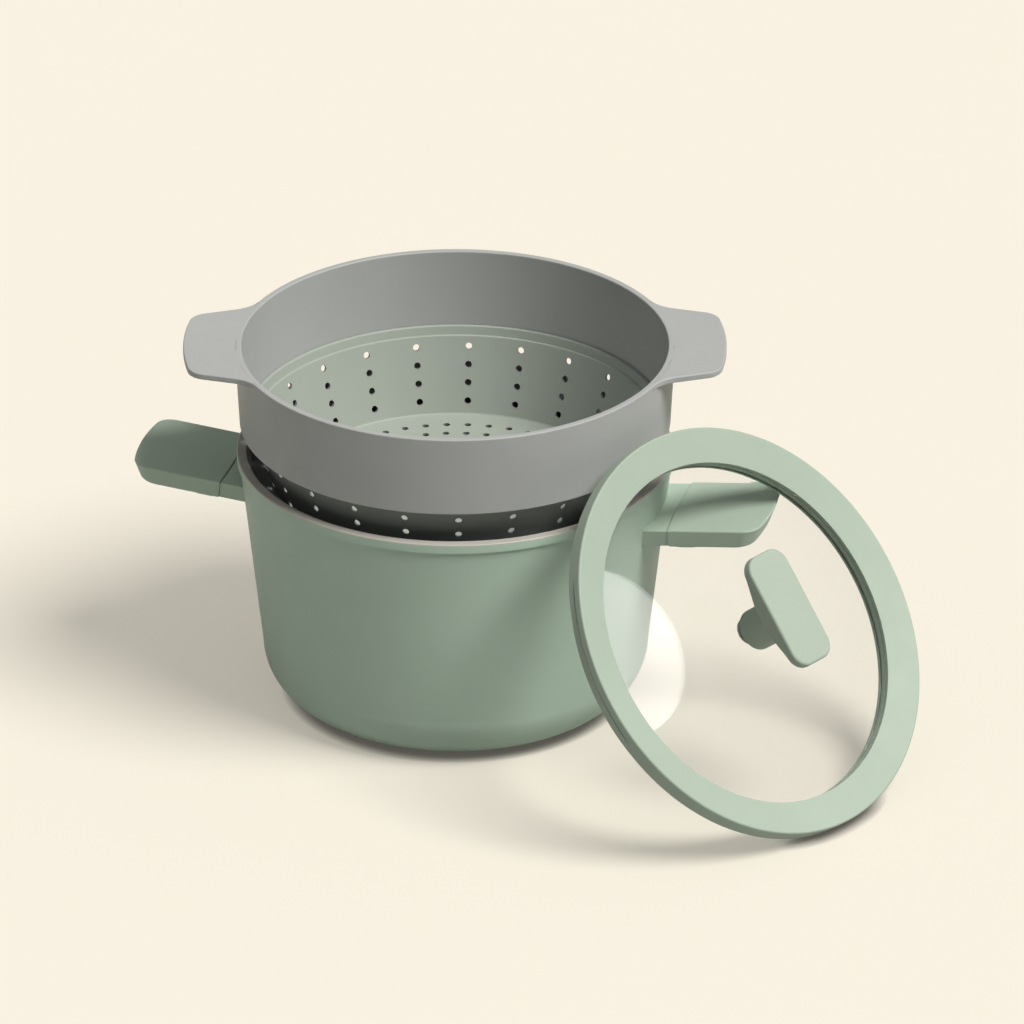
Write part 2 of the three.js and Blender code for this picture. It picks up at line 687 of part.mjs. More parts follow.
function clearance(points) {
  const under = points.map((point) => {
    const local = lid.worldToLocal(point.clone());
    return underside(Math.hypot(local.x, local.y)) - local.z;
  });
  const beside = cornersOf('lid_ring').map(({ x, y, z }) => Math.hypot(x, y) - standingR(z));
  return Math.min(...under, ...beside);
}

const behind = ['pot_body', 'steamer_collar', 'handle_neck_right', 'handle_grip_right'].flatMap(cornersOf);
let near = rimR;
let far = 4 * rimR;
for (let i = 0; i < 40; i++) {
  const middle = (near + far) / 2;
  placeLid(middle);
  if (clearance(behind) > GAP) far = middle;
  else near = middle;
}
placeLid(far);

export default part;
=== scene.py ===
import math

import bmesh
import bpy
from mathutils import Matrix, Vector


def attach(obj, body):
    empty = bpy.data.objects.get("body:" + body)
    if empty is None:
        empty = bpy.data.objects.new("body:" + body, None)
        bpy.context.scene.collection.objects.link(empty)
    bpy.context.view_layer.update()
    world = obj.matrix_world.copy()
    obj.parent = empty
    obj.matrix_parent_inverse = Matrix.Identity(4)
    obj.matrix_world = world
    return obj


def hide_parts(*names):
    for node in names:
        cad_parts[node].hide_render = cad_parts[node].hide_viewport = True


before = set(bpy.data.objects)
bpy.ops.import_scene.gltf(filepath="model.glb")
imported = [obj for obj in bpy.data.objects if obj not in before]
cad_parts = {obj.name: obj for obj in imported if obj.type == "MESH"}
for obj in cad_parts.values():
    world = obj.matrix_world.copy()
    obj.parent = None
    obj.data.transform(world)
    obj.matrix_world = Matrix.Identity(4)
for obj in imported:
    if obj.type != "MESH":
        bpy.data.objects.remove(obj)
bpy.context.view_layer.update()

# Shapes are drawn in millimetres and scaled to metres when a piece is made.
MM = 0.001
GAP = 0.3  # clearance between neighbouring parts
EDGE = 0.8  # usual edge rounding
FINE_EDGE = 0.4  # rounding of thin edges
HOLD = 0.5  # flat band inside a rounded edge
MITRE_LIMIT = 0.2  # holds back the sharp corners of an inset outline
SHARP_ANGLE = 35  # edges that turn by more than this stay sharp, degrees

# Facets of turned parts and steps along arcs
ROUND = 192
DISC_ROUND = 64
WELL_ROUND = 32
HOLE_ROUND = 20
ARC_STEPS = 16  # curved ends and seams of outlines
WIDE_STEPS = 32  # long arcs of outlines
CORNER_STEPS = 14  # corners of outlines
PROFILE_STEPS = 24  # large arcs of turned parts
EDGE_STEPS = 5  # rounded edges of turned parts
LEVEL_STEPS = 6  # rounded edges of plates and of the knob

# Pot
POT_H = 151.4
MOUTH_R = 119.4  # inside of the rim
RIM_R = 125.1
RIM_Z = 145.4  # underside of the proud rim band
RIM_BREAK = 0.3  # edge break under the band
WALL_TOP_R = 123.6
WALL_TAPER = 0.1092  # radius gained per millimetre of height
WALL_T = 5.1
CORNER_R = 31.0  # outside bottom edge
FOOT_GAP = 0.6  # pot bottom above the table
PLATE_T = 3.0  # base plate
PLATE_R = 72.4
FLOOR_Z = 9.0  # pot floor, inside

# Handles
HANDLE_AZ = -14.3  # heading of the right handle, degrees from +X
HANDLE_TILT = 5.8  # upward tilt, degrees
HANDLE_Z = 128.6  # top of the grip at the seam
NECK_L = 9.5  # pot wall to seam
NECK_STEP = 0.7  # the neck is this much smaller than the grip all round
NECK_SINK = 0.3  # the neck ends this far inside the pot wall
SEAM_BOW = 1.0  # bow of the seam towards the pot
SEAM_GAP = 0.3
SEAM_SHARE = 0.4  # share of the edge rounding that the seam takes
GRIP_L = 55.8  # seam to tip
GRIP_W = 64.2
GRIP_T = 11.4
GRIP_CORNER_R = 10.0
GRIP_EDGE = 1.2  # rounding of the upper edge
GRIP_LOW_EDGE = 2.2  # rounding of the lower edge
TIP_R = 130.0  # arc of the tip, seen from above
TIP_INSET = 5.5  # the tip draws in by this much over the grip's thickness
SIDE_INSET = 1.2  # the sides draw in by this much
PAD_L = 14.0  # thicker pad under the grip by the seam
PAD_W = 56.0
PAD_H = 1.2
PAD_CORNER_R = 3.5
PAD_EDGE = 0.6
WELL_R = 3.2  # hollow that holds a screw head
WELL_D = 2.2
WELL_REACH = 5.0  # the cutter for it starts this far below the face
GRIP_SCREW_X = 18.6  # seam to grip screw
STUD_SCREW_X = -6.8  # seam to stud screw

# Steamer insert
COLLAR_Z = 169.6
COLLAR_TOP_Z = 217.6
COLLAR_TOP_R = 125.7
COLLAR_LOW_R = 123.3
COLLAR_T = 3.9
COLLAR_IN_R = 119.46  # inside of the collar at the lip
LIP_T = 1.2  # inner lip that carries the basket
OPENING_R = 118.16  # inside of the lip
TAB_END_R = 155.0
TAB_W = 90.6  # between the sides, level with the collar's outside
TAB_TAPER = 16.4  # how far each side turns in towards the end, degrees
TAB_T = 3.7
TAB_CORNER_R = 12.0
TAB_FILLET_R = 22.0
FLANGE_R = 119.16  # basket flange on the lip
FLANGE_Z = 172.0
FLANGE_EDGE = 0.2
LEDGE_R = 117.06  # flat top of the flange ends here
LEDGE_TURN = 155  # where the ledge's rounded edge ends, degrees
STEP_R = 114.36  # top of the perforated wall
STEP_W = 1.5
STEP_Z = 167.0
STEP_RISE = 0.1  # the step rises this much towards the band
BASKET_TAPER = 0.325  # radius gained per millimetre of height
BASKET_T = 1.4
BASKET_Z = 123.2  # basket floor
BASKET_CORNER_R = 1.6
SEAT_RING_Z = 134.2  # ring outside the basket that sits on the pot's taper
SEAT_RING_H = 3.0
HOLE_D = 3.9
HOLE_COLUMNS = 23
HOLE_AZ = 84.5  # heading of the first column, degrees
HOLE_SKEW = 1.4  # the most that a column is turned from even spacing, degrees
HOLE_ROWS = 4
HOLE_TOP_Z = 161.2
HOLE_PITCH = 10.16  # row to row
DRILL_HALF = 6.0
FLOOR_AZ = 85.1  # heading of the first hole of each floor ring, degrees
FLOOR_RINGS = ((86.33, 44), (75.03, 40), (54.03, 14), (33.03, 9), (12.03, 3))  # radius, holes

# Lid, with 0 at the ring's top outer edge
LID_AT = Vector((166.980, -131.322, 100.941))
LID_AZ = -41.6  # heading of the lid's normal, degrees from +X
LID_EL = 38.3  # elevation of the lid's normal, degrees
LID_R = 120.95
LID_H = 10.2  # height of the ring's outer side
RING_IN_R = 101.0
RING_DISH = 4.2  # drop of the top face towards the glass
RING_EDGE = 1.2  # rounding of the top outer edge
RING_TURN = 80  # where the inner edge's rounding starts, degrees
JOINT_DROP = 2.2  # top face to the fine groove in the inner step
JOINT_D = 0.5
JOINT_H = 0.6
JOINT_SLOPE = 0.15
PLUG_R = 116.2
PLUG_H = 5.5  # plug below the outer side
GLASS_TOP = -10.1
GLASS_T = 4.0
GLASS_R = 103.4
GLASS_PLAY = 0.1  # ring above the glass edge
DOME_R = 100.2
DOME_RISE = 10.7
LAND_R = 14.0  # flat land of the glass under the knob
NOTCH_AZ = 168.0  # heading of the pour notch on the lid, degrees
NOTCH_HALF = 24.0  # half of its arc, degrees
NOTCH_DEPTH = 0.9
NOTCH_TOP = 4.8  # top edge to the notch
NOTCH_SLIT_DEPTH = 3.2
NOTCH_SLIT_H = 1.2
KNOB_TOP = 37.19
KNOB_L = 68.5
KNOB_W = 31.0
KNOB_END_T = 6.2  # thickness of the bar at its ends
KNOB_ROOT_T = 11.0  # thickness of the bar beside the stem
KNOB_ROOT_L = 37.0  # length of the bar's thick middle
KNOB_FILLET = 3.0  # stem to bar
KNOB_EDGE = 1.6
KNOB_UNDER = 0.8  # the bar's underside is this much smaller all round
KNOB_CORNER_R = 10.0
KNOB_SHIFT = 1.3  # middle of the bar from the lid's axis
STEM_R = 12.0
STEM_SHIFT = -1.3  # middle of the stem from the lid's axis
STEM_Z = 3.59
CUSHION_R = 7.6  # soft disc under the stem
CUSHION_T = 3.2
SCREW_HOLE_R = 3.1

# Camera, floor and light, in metres and degrees
FOCAL_PX = 11001.4
IMAGE_PX = 1024
SENSOR = 36.0
CAMERA_AT = (0.0, -5.6492, 2.9459)
CAMERA_PITCH = 26.66
CAMERA_YAW = -0.33
CAMERA_REACH = 100
KEY_AZ = -30.0
KEY_EL = 56.0
KEY_POWER = 3.45
KEY_ANGLE = 29.0
KEY_COLOUR = (1.0, 0.985, 0.96)
SOFTBOX_AZ = -16.6
SOFTBOX_EL = 41.5
SOFTBOX_FAR = 4.0
SOFTBOX_D = 1.65
SOFTBOX_POWER = 28.5
SOFTBOX_COLOUR = (1.0, 0.965, 0.945)
SKY_COLOUR = (1.0, 0.99, 0.97)
SKY_HORIZON = 0.05
SKY_ZENITH = 0.43
FLOOR_HALF = 40.0
FLOOR_COLOUR = (0.845, 0.795, 0.69)
FLOOR_BOUNCE = (0.40, 0.412, 0.388)  # colour that lights the part from below
FLOOR_DRIFT = 3.0
FLOOR_SPREAD = 0.003
FLOOR_LIFT = 0.42  # share of the floor that glows, which softens the shadow
CONTACT_FAR = 0.0075  # reach of the painted contact shadow, a dark line where the part stands
CONTACT_SHADE = 0.25
CONTACT_SPAN = (0.3, 0.95)

# Materials, with depths in metres and noise scales per metre
DRIFT_SCALE = 18.0
GLOSS_SCALE = 60.0
GRAIN_SCALE = 900.0
GRAIN_DETAIL = 2.0
GRAIN_DEPTH = 0.0002
BRUSH_SCALE = 30.0
BRUSH_STRETCH = (1.0, 40.0, 40.0)
BRUSH_SPREAD = 0.06
BRUSH_DEPTH = 0.0001
BRUSH_RELIEF = 0.2
SMUDGE_SCALE = 25.0
SMUDGE_GLOSS = (0.0, 0.04)
GLASS_IOR = 1.45
TONE_SPAN = (0.35, 0.65)
MIX_A, MIX_B, MIX_RESULT = 6, 7, 2  # colour sockets of a mix node


def rad(degrees):
    return math.radians(degrees)


# Points of an arc about (cx, cy) between two angles in degrees.
def arc(cx, cy, radius, start, end, steps):
    angles = [rad(start + (end - start) * i / steps) for i in range(steps + 1)]
    return [(cx + radius * math.cos(a), cy + radius * math.sin(a)) for a in angles]


def mesh_from(name, points, faces):
    mesh = bpy.data.meshes.new(name)
    mesh.from_pydata([tuple(p) for p in points], [], faces)
    mesh.update()
    return mesh


# Surface turned about Z from chains of (radius, height); each chain may have its own finish.
def lathe(name, chains, segments=ROUND, closed=False, finishes=()):
    profile = [(r, z, zone) for zone, chain in enumerate(chains) for r, z in chain]
    points, rows, faces, zones = [], [], [], []
    for r, z, _ in profile:
        first = len(points)
        if r == 0:
            points.append((0, 0, z))
            rows.append([first] * segments)
        else:
            turn = [2 * math.pi * j / segments for j in range(segments)]
            points += [(r * math.cos(a), r * math.sin(a), z) for a in turn]
            rows.append(list(range(first, first + segments)))
    count = len(profile) if closed else len(profile) - 1
    for i in range(count):
        low, high = rows[i], rows[(i + 1) % len(rows)]
        for j in range(segments):
            k = (j + 1) % segments
            corners = [low[j], low[k], high[k], high[j]]
            face = [c for n, c in enumerate(corners) if c != corners[n - 1]]
            faces.append(face)
            zones.append(profile[i][2])
    mesh = mesh_from(name, points, faces)
    for finish in finishes:
        mesh.materials.append(finish)
    if finishes:
        mesh.polygons.foreach_set("material_index", zones)
    return mesh


# Outline moved inwards by a distance, along the mean normal at each corner.
def inset(outline, distance):
    moved = []
    for i, (x, y) in enumerate(outline):
        before = Vector(outline[i]) - Vector(outline[i - 1])
        after = Vector(outline[(i + 1) % len(outline)]) - Vector(outline[i])
        a = Vector((-before.y, before.x)).normalized()
        b = Vector((-after.y, after.x)).normalized()
        shift = (a + b) * (distance / max(1 + a.dot(b), MITRE_LIMIT))
        moved.append((x + shift.x, y + shift.y))
    return moved


# Skin through sections of equal point counts, lowest first, closed at both ends.
def loft(name, sections):
    count = len(sections[0][0])
    points = [(x, y, z) for outline, z in sections for x, y in outline]
    faces = [tuple(reversed(range(count)))]
    for base in range(0, count * (len(sections) - 1), count):
        for i in range(count):
            j = (i + 1) % count
            faces.append((base + i, base + j, base + count + j, base + count + i))
    faces.append(tuple(range(len(points) - count, len(points))))
    return mesh_from(name, points, faces)


# Angles over a rounded edge.
def quarter_turns():
    return [rad(90 * i / LEVEL_STEPS) for i in range(LEVEL_STEPS + 1)]


# Heights and insets of the sections between two faces with rounded edges, lowest first.
# A narrow flat band inside each edge keeps the shading of the faces even.
def edge_levels(low, high, low_edge, high_edge):
    turns = quarter_turns()
    lower = [(low + low_edge * (1 - math.cos(a)), low_edge * (1 - math.sin(a))) for a in turns]
    upper = [(high - high_edge * (1 - math.cos(a)), high_edge * (1 - math.sin(a))) for a in turns]
    return [(low, low_edge + HOLD), *lower, *reversed(upper), (high, high_edge + HOLD)]


# Plate with rounded edges from a counter-clockwise outline.
def slab(name, outline, low, high, edge):
    levels = edge_levels(low, high, edge, edge)
    return loft(name, [(inset(outline, margin), z) for z, margin in levels])


def rounded_rectangle(x0, x1, width, radius):
    side = width / 2 - radius
    return [
        *arc(x1 - radius, side, radius, 0, 90, CORNER_STEPS),
        *arc(x0 + radius, side, radius, 90, 180, CORNER_STEPS),
        *arc(x0 + radius, -side, radius, 180, 270, CORNER_STEPS),
        *arc(x1 - radius, -side, radius, 270, 360, CORNER_STEPS),
    ]


# One mesh from copies of another, each moved by a matrix.
def copies(mesh, places):
    bm = bmesh.new()
    for place in places:
        extra = mesh.copy()
        extra.transform(place)
        bm.from_mesh(extra)
        bpy.data.meshes.remove(extra)
    made = bpy.data.meshes.new(mesh.name)
    bm.to_mesh(made)
    bm.free()
    return made


# Result of adding or subtracting a tool mesh.
def boolean(mesh, tool, operation):
    objects = [bpy.data.objects.new("shape", m) for m in (mesh, tool)]
    for obj in objects:
        bpy.context.scene.collection.objects.link(obj)
    modifier = objects[0].modifiers.new("boolean", "BOOLEAN")
    modifier.operation = operation
    modifier.solver = "MANIFOLD"
    modifier.object = objects[1]
    depsgraph = bpy.context.evaluated_depsgraph_get()
    made = bpy.data.meshes.new_from_object(objects[0].evaluated_get(depsgraph))
    for obj in objects:
        bpy.data.objects.remove(obj)
    return made


# Links a piece that stands for CAD nodes and rides on a body.
def piece(name, mesh, finish, body, nodes, place=Matrix()):
    mesh.transform(Matrix.Scale(MM, 4) @ place)
    if not any(mesh.materials):
        mesh.materials.clear()
        mesh.materials.append(finish)
    mesh.shade_smooth()
    mesh.set_sharp_from_angle(angle=rad(SHARP_ANGLE))
    obj = bpy.data.objects.new(name, mesh)
    bpy.context.scene.collection.objects.link(obj)
    weighted = obj.modifiers.new("weighted normals", "WEIGHTED_NORMAL")
    weighted.keep_sharp = True
    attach(obj, body)
    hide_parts(*nodes)


# Materials
def node_material(name):
    material = bpy.data.materials.new(name)
    material.use_nodes = True
    tree = material.node_tree
    shader = tree.nodes["Principled BSDF"]
    coords = tree.nodes.new("ShaderNodeTexCoord")
    return material, tree, shader, coords.outputs["Object"]


def noise(tree, coords, scale, detail=4.0):
    node = tree.nodes.new("ShaderNodeTexNoise")
    node.inputs["Scale"].default_value = scale
    node.inputs["Detail"].default_value = detail
    tree.links.new(coords, node.inputs["Vector"])
    return node.outputs["Fac"]


def ramp(tree, factor, low, high, start=0.3, end=0.7):
    node = tree.nodes.new("ShaderNodeMapRange")
    node.inputs["From Min"].default_value = start
    node.inputs["From Max"].default_value = end
    node.inputs["To Min"].default_value = low
    node.inputs["To Max"].default_value = high
    tree.links.new(factor, node.inputs["Value"])
    return node.outputs["Result"]


def two_tone(tree, factor, colour, spread):
    node = tree.nodes.new("ShaderNodeValToRGB")
    gains = (1 - spread, 1 + spread)
    for element, gain, position in zip(node.color_ramp.elements, gains, TONE_SPAN):
        element.color = (*[c * gain for c in colour], 1)
        element.position = position
    tree.links.new(factor, node.inputs["Fac"])
    return node.outputs["Color"]


def bump(tree, shader, height, distance, strength):
    node = tree.nodes.new("ShaderNodeBump")
    node.inputs["Distance"].default_value = distance
    node.inputs["Strength"].default_value = strength
    tree.links.new(height, node.inputs["Height"])
    tree.links.new(node.outputs["Normal"], shader.inputs["Normal"])


# Coat or moulded skin: slow colour drift, fine grain in the surface and uneven gloss.
def coat(name, colour, gloss=(0.48, 0.6), spread=0.02, relief=0.25, specular=0.4):
    material, tree, shader, coords = node_material(name)
    drift = noise(tree, coords, DRIFT_SCALE)
    tree.links.new(two_tone(tree, drift, colour, spread), shader.inputs["Base Color"])
    tree.links.new(ramp(tree, noise(tree, coords, GLOSS_SCALE), *gloss), shader.inputs["Roughness"])
    shader.inputs["Specular IOR Level"].default_value = specular
    bump(tree, shader, noise(tree, coords, GRAIN_SCALE, GRAIN_DETAIL), GRAIN_DEPTH, relief)
    return material


def metal(name, colour, gloss):
    material, tree, shader, coords = node_material(name)
    stretch = tree.nodes.new("ShaderNodeMapping")
    stretch.inputs["Scale"].default_value = BRUSH_STRETCH
    tree.links.new(coords, stretch.inputs["Vector"])
    lines = noise(tree, stretch.outputs["Vector"], BRUSH_SCALE)
    tree.links.new(two_tone(tree, lines, colour, BRUSH_SPREAD), shader.inputs["Base Color"])
    tree.links.new(ramp(tree, lines, *gloss), shader.inputs["Roughness"])
    shader.inputs["Metallic"].default_value = 1.0
    bump(tree, shader, lines, BRUSH_DEPTH, BRUSH_RELIEF)
    return material


# 1 for the named kinds of ray, 0 for the rest.
def any_ray(tree, first, *others):
    path = tree.nodes.new("ShaderNodeLightPath")
    found = path.outputs[first]
    for ray in others:
        either = tree.nodes.new("ShaderNodeMath")
        either.operation = "MAXIMUM"
        tree.links.new(found, either.inputs[0])
        tree.links.new(path.outputs[ray], either.inputs[1])
        found = either.outputs["Value"]
    return found


# Clear glass with faint smudges that lets lamp light through to the floor.
def clear_glass(name, tint, shade):
    material, tree, shader, coords = node_material(name)
    shader.inputs["Base Color"].default_value = (*tint, 1)
    shader.inputs["Transmission Weight"].default_value = 1.0
    shader.inputs["IOR"].default_value = GLASS_IOR
    smudges = noise(tree, coords, SMUDGE_SCALE)
    tree.links.new(ramp(tree, smudges, *SMUDGE_GLOSS), shader.inputs["Roughness"])
    through = tree.nodes.new("ShaderNodeBsdfTransparent")
    through.inputs["Color"].default_value = (*shade, 1)
    mix = tree.nodes.new("ShaderNodeMixShader")
    tree.links.new(any_ray(tree, "Is Shadow Ray", "Is Diffuse Ray"), mix.inputs["Fac"])
    tree.links.new(shader.outputs["BSDF"], mix.inputs[1])
    tree.links.new(through.outputs["BSDF"], mix.inputs[2])
    tree.links.new(mix.outputs["Shader"], tree.nodes["Material Output"].inputs["Surface"])
    return material


SAGE = coat("sage coat", (0.445, 0.565, 0.467))
BEIGE = coat("beige ceramic", (0.48, 0.455, 0.41), gloss=(0.3, 0.42))
HANDLE = coat("sage soft touch", (0.46, 0.565, 0.46), gloss=(0.5, 0.62))
GREY = coat("grey coat", (0.398, 0.408, 0.398))
BASKET_IN = coat("pale sage coat", (0.335, 0.37, 0.327))
BASKET_OUT = coat("dark grey coat", (0.18, 0.195, 0.185))
SILICONE = coat("light sage silicone", (0.375, 0.45, 0.37), gloss=(0.55, 0.68), relief=0.15)
KNOB = coat("light sage plastic", (0.37, 0.44, 0.36), gloss=(0.5, 0.6))
STEEL = metal("brushed steel", (0.62, 0.62, 0.61), (0.28, 0.42))
ALUMINIUM = metal("satin aluminium", (0.72, 0.72, 0.72), (0.35, 0.5))
GLASS = clear_glass("clear glass", (0.995, 0.995, 0.995), (0.92, 0.92, 0.915))


# Pot
def wall_r(z):
    return WALL_TOP_R - WALL_TAPER * (RIM_Z - z)


def pot_outside(offset=0.0):
    corner_x = wall_r(CORNER_R) - CORNER_R
    return [
        *arc(corner_x, CORNER_R + FOOT_GAP, CORNER_R + offset, -90, 0, PROFILE_STEPS),
        (WALL_TOP_R + offset, RIM_Z),
    ]


def make_pot():
    inner_r = CORNER_R - WALL_T
    inner_z = FLOOR_Z + inner_r
    inner_x = wall_r(inner_z) - WALL_T - inner_r
    throat_z = RIM_Z - EDGE
    outside = [
        (0, PLATE_T),
        (PLATE_R, PLATE_T),
        (PLATE_R, FOOT_GAP),
        *pot_outside(),
        (RIM_R - RIM_BREAK, RIM_Z + RIM_BREAK),
        (RIM_R, RIM_Z + EDGE),
    ]
    rim = [
        *arc(RIM_R - EDGE, POT_H - EDGE, EDGE, 0, 90, EDGE_STEPS),
        *arc(MOUTH_R + EDGE, POT_H - EDGE, EDGE, 90, 180, EDGE_STEPS),
        (wall_r(throat_z) - WALL_T, throat_z),
        *arc(inner_x, inner_z, inner_r, 0, -90, PROFILE_STEPS),
        (0, FLOOR_Z),
    ]
    mesh = lathe("pot", [outside, rim], finishes=(SAGE, BEIGE))
    piece("pot_shell", mesh, SAGE, "pot", ["pot_body"])


# Handles, drawn along +X with 0 at the top of the seam.
def seam_line(width, shift):
    spans = [2 * i / ARC_STEPS - 1 for i in range(ARC_STEPS + 1)]
    return [(-SEAM_BOW * (1 - s * s) + shift, s * width / 2) for s in spans]


def handle_place(heading):
    seam = Matrix.Translation((wall_r(HANDLE_Z) + NECK_L, 0, HANDLE_Z))
    tilt = Matrix.Rotation(-rad(HANDLE_TILT), 4, "Y")
    return Matrix.Rotation(rad(heading), 4, "Z") @ seam @ tilt


def screw_well(x, face):
    low, high = face - WELL_REACH, face + WELL_D
    well = lathe("well", [[(0, low), (WELL_R, low), (WELL_R, high), (0, high)]], WELL_ROUND)
    well.transform(Matrix.Translation((x, 0, 0)))
    return well


# Plan of the grip: a bowed seam, two round corners and a tip on a large arc.
def grip_outline(tip, side, seam):
    middle = tip - TIP_R
    y = side - GRIP_CORNER_R
    x = middle + math.sqrt((TIP_R - GRIP_CORNER_R) ** 2 - y * y)
    turn = math.degrees(math.atan2(y, x - middle))
    return [
        *reversed(seam_line(2 * side, seam)),
        *arc(x, -y, GRIP_CORNER_R, 270, 360 - turn, CORNER_STEPS),
        *arc(middle, 0, TIP_R, -turn, turn, ARC_STEPS)[1:-1],
        *arc(x, y, GRIP_CORNER_R, turn, 90, CORNER_STEPS),
    ]


def neck_outline(side, seam):
    inside = -NECK_L - CORNER_R / 2
    return [(inside, -side), *seam_line(2 * side, seam), (inside, side)]


def make_grip(side, place):
    sections = []
    for z, margin in edge_levels(-GRIP_T, 0, GRIP_LOW_EDGE, GRIP_EDGE):
        tip = GRIP_L - margin + TIP_INSET * z / GRIP_T
        half = GRIP_W / 2 - margin + SIDE_INSET * z / GRIP_T
        seam = SEAM_GAP / 2 + margin * SEAM_SHARE
        sections.append((grip_outline(tip, half, seam), z))
    pad_outline = rounded_rectangle(GRIP_LOW_EDGE, GRIP_LOW_EDGE + PAD_L, PAD_W, PAD_CORNER_R)
    pad = slab("pad", pad_outline, -GRIP_T - PAD_H, -GRIP_T / 2, PAD_EDGE)
    grip = boolean(loft("grip", sections), pad, "UNION")
    grip = boolean(grip, screw_well(GRIP_SCREW_X, -GRIP_T), "DIFFERENCE")
    piece(f"grip_{side}", grip, HANDLE, "pot", [f"handle_grip_{side}"], place)


def make_neck(side, place):
    sections = []
    for z, margin in edge_levels(NECK_STEP - GRIP_T, -NECK_STEP, EDGE, EDGE):
        half = GRIP_W / 2 - NECK_STEP - margin + SIDE_INSET * z / GRIP_T
        sections.append((neck_outline(half, -SEAM_GAP / 2 - margin * SEAM_SHARE), z))
    wall = lathe("wall", [[(0, 0), *pot_outside(-NECK_SINK), (WALL_TOP_R, POT_H), (0, POT_H)]])
    wall.transform(handle_place(HANDLE_AZ).inverted())
    neck = boolean(loft("neck", sections), wall, "DIFFERENCE")
    neck = boolean(neck, screw_well(STUD_SCREW_X, NECK_STEP - GRIP_T), "DIFFERENCE")
    piece(f"neck_{side}", neck, HANDLE, "pot", [f"handle_neck_{side}"], place)


def make_handle(side, heading):
    make_grip(side, handle_place(heading))
    make_neck(side, handle_place(heading))


# Steamer insert
# Plan of a tab: an end that follows the collar, round corners, tapered sides and filleted roots.
def tab_outline():
    sin, cos = math.sin(rad(TAB_TAPER)), math.cos(rad(TAB_TAPER))
    reach = COLLAR_TOP_R * sin + TAB_W / 2 * cos

    def centre(radius, distance):
        along = math.sqrt(radius ** 2 - distance ** 2)
        return distance * sin + along * cos, distance * cos - along * sin

    corner = centre(TAB_END_R - TAB_CORNER_R, reach - TAB_CORNER_R)
    fillet = centre(COLLAR_TOP_R + TAB_FILLET_R, reach + TAB_FILLET_R)
    end, root = [math.degrees(math.atan2(y, x)) for x, y in (corner, fillet)]
    upper = [
        *arc(*corner, TAB_CORNER_R, end, 90 - TAB_TAPER, CORNER_STEPS),
        *arc(*fillet, TAB_FILLET_R, 270 - TAB_TAPER, 180 + root, CORNER_STEPS),
    ]
    return [
        *arc(0, 0, TAB_END_R, -end, end, ARC_STEPS)[1:-1],
        *upper,
        *arc(0, 0, COLLAR_TOP_R - COLLAR_T / 2, root, -root, WIDE_STEPS),
        *[(x, -y) for x, y in reversed(upper)],
    ]


def make_collar():
    lip_z = COLLAR_Z + LIP_T
    ring = lathe("collar", [[
        (OPENING_R, COLLAR_Z),
        *arc(COLLAR_LOW_R - EDGE, COLLAR_Z + EDGE, EDGE, -90, 0, EDGE_STEPS),
        *arc(COLLAR_TOP_R - EDGE, COLLAR_TOP_Z - EDGE, EDGE, 0, 90, EDGE_STEPS),
        *arc(COLLAR_TOP_R - COLLAR_T + EDGE, COLLAR_TOP_Z - EDGE, EDGE, 90, 180, EDGE_STEPS),
        (COLLAR_IN_R, lip_z),
        (OPENING_R, lip_z),
    ]], closed=True)
    tab = slab("tab", tab_outline(), COLLAR_TOP_Z - TAB_T, COLLAR_TOP_Z, EDGE)
    tabs = copies(tab, [Matrix(), Matrix.Rotation(math.pi, 4, "Z")])
    collar = boolean(ring, tabs, "UNION")
    piece("collar", collar, GREY, "steamer", ["steamer_collar"])


def basket_r(z):
    return STEP_R - BASKET_TAPER * (STEP_Z - z)


def out_r(z):
    return basket_r(z) + BASKET_T


# Outside of the seat ring, which follows the inside of the pot.
def seat_r(z):
    return wall_r(z) - WALL_T - GAP


def basket_drills():
    radius = HOLE_D / 2
    ends = [(0, -DRILL_HALF), (radius, -DRILL_HALF), (radius, DRILL_HALF), (0, DRILL_HALF)]
    drill = lathe("drill", [ends], HOLE_ROUND)
    places = []
    for row in range(HOLE_ROWS):
        z = HOLE_TOP_Z - HOLE_PITCH * row
        out = Matrix.Translation((out_r(z), 0, z)) @ Matrix.Rotation(math.pi / 2, 4, "Y")
        for column in range(HOLE_COLUMNS):
            even = rad(HOLE_AZ + 360 * column / HOLE_COLUMNS)
            turn = even + rad(HOLE_SKEW) * math.sin(even)
            places.append(Matrix.Rotation(turn, 4, "Z") @ out)
    for ring_r, count in FLOOR_RINGS:
        for i in range(count):
            turn = Matrix.Rotation(rad(FLOOR_AZ + 360 * i / count), 4, "Z")
            places.append(turn @ Matrix.Translation((ring_r, 0, BASKET_Z)))
    return copies(drill, places)


